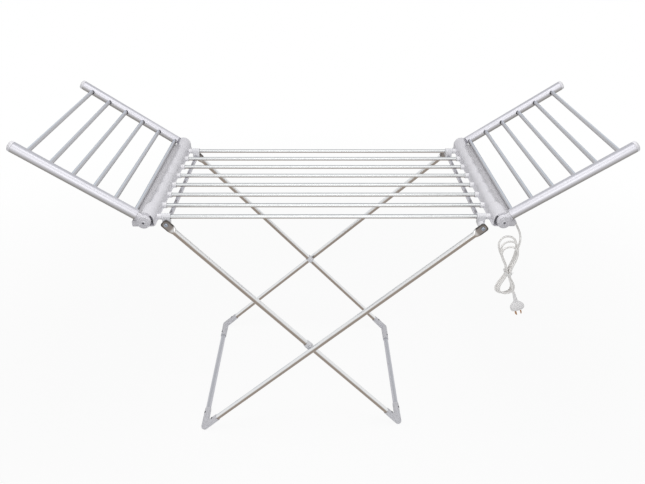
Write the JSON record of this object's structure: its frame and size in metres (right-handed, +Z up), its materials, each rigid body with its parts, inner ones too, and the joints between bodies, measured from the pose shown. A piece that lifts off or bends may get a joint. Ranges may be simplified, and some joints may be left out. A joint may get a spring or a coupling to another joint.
{
  "type": "heated clothes airer",
  "caption": "Folding electric clothes airer: heated tube rack between moulded end housings, raised hinged side wings, crossed U-shaped legs, hanked mains cord.",
  "frame": {"origin": "centre of the footprint of the bounding box, measured without the mains cord, on the floor under the feet", "axes": "+X runs along the rack towards the end that carries the mains cord, +Y from the cord side to the other side, +Z up"},
  "size_m": [1.4856, 0.5752, 0.941],
  "materials": {
    "housing": "light grey moulded plastic with a fine satin grain",
    "end_cap": "off-white moulded plastic, slightly glossy",
    "bracket": "light grey moulded plastic",
    "elbow": "mid grey moulded plastic",
    "polished_aluminium": "drawn tube, bright and smooth with fine lengthwise lines",
    "satin_aluminium": "drawn tube, satin with fine lengthwise lines",
    "leg_aluminium": "drawn tube, bright and smooth",
    "heating_cable": "silicone heating cable, matt",
    "cord": "white flexible mains cord sheath, semi-gloss",
    "plug": "white moulded plug with bare brass pins"
  },
  "bodies": {
    "rack": {"left_end_housing": "housing", "left_end_base": "housing", "left_front_bracket": "bracket", "left_rear_bracket": "bracket", "left_axle": "satin_aluminium", "right_end_housing": "housing", "right_end_base": "housing", "right_front_bracket": "bracket", "right_rear_bracket": "bracket", "right_axle": "satin_aluminium", "heating_tube_1": "polished_aluminium", "heating_tube_2": "polished_aluminium", "heating_tube_3": "polished_aluminium", "heating_tube_4": "polished_aluminium", "heating_tube_5": "polished_aluminium", "heating_tube_6": "polished_aluminium", "heating_tube_7": "polished_aluminium", "heating_tube_8": "polished_aluminium", "rack_heating_cable": "heating_cable", "cord_outlet": "end_cap", "cord_lead": "cord", "cord_hank": "cord", "cord_tie": "cord", "cord_plug": "plug"},
    "left_wing": {"left_wing_front_arm": "satin_aluminium", "left_wing_front_cap": "end_cap", "left_wing_front_knuckle": "housing", "left_wing_rear_arm": "satin_aluminium", "left_wing_rear_cap": "end_cap", "left_wing_rear_knuckle": "housing", "left_wing_bar_1": "satin_aluminium", "left_wing_bar_2": "satin_aluminium", "left_wing_bar_3": "satin_aluminium", "left_wing_bar_4": "satin_aluminium", "left_wing_bar_5": "satin_aluminium", "left_wing_bar_6": "satin_aluminium", "left_wing_heating_cable": "heating_cable"},
    "right_wing": {"right_wing_front_arm": "satin_aluminium", "right_wing_front_cap": "end_cap", "right_wing_front_knuckle": "housing", "right_wing_rear_arm": "satin_aluminium", "right_wing_rear_cap": "end_cap", "right_wing_rear_knuckle": "housing", "right_wing_bar_1": "satin_aluminium", "right_wing_bar_2": "satin_aluminium", "right_wing_bar_3": "satin_aluminium", "right_wing_bar_4": "satin_aluminium", "right_wing_bar_5": "satin_aluminium", "right_wing_bar_6": "satin_aluminium", "right_wing_heating_cable": "heating_cable"},
    "inner_legs": {"inner_front_leg": "leg_aluminium", "inner_front_elbow": "elbow", "inner_rear_leg": "leg_aluminium", "inner_rear_elbow": "elbow", "inner_foot_tube": "leg_aluminium"},
    "outer_legs": {"outer_front_leg": "leg_aluminium", "outer_front_elbow": "elbow", "outer_rear_leg": "leg_aluminium", "outer_rear_elbow": "elbow", "outer_foot_tube": "leg_aluminium"}
  },
  "joints": [
    {"name": "left_wing_fold", "type": "hinge", "parent": "rack", "child": "left_wing", "pos_m": [-0.447, 0, 0.7355], "axis": [0, 1, 0], "range_deg": [0, 137]},
    {"name": "right_wing_fold", "type": "hinge", "parent": "rack", "child": "right_wing", "pos_m": [0.447, 0, 0.7355], "axis": [0, -1, 0], "range_deg": [0, 137]},
    {"name": "inner_legs_fold", "type": "hinge", "parent": "rack", "child": "inner_legs", "pos_m": [-0.4028, 0, 0.708], "axis": [0, -1, 0], "range_deg": [0, 45.4]},
    {"name": "outer_legs_fold", "type": "hinge", "parent": "rack", "child": "outer_legs", "pos_m": [0.4028, 0, 0.708], "axis": [0, 1, 0], "range_deg": [0, 41]}
  ]
}
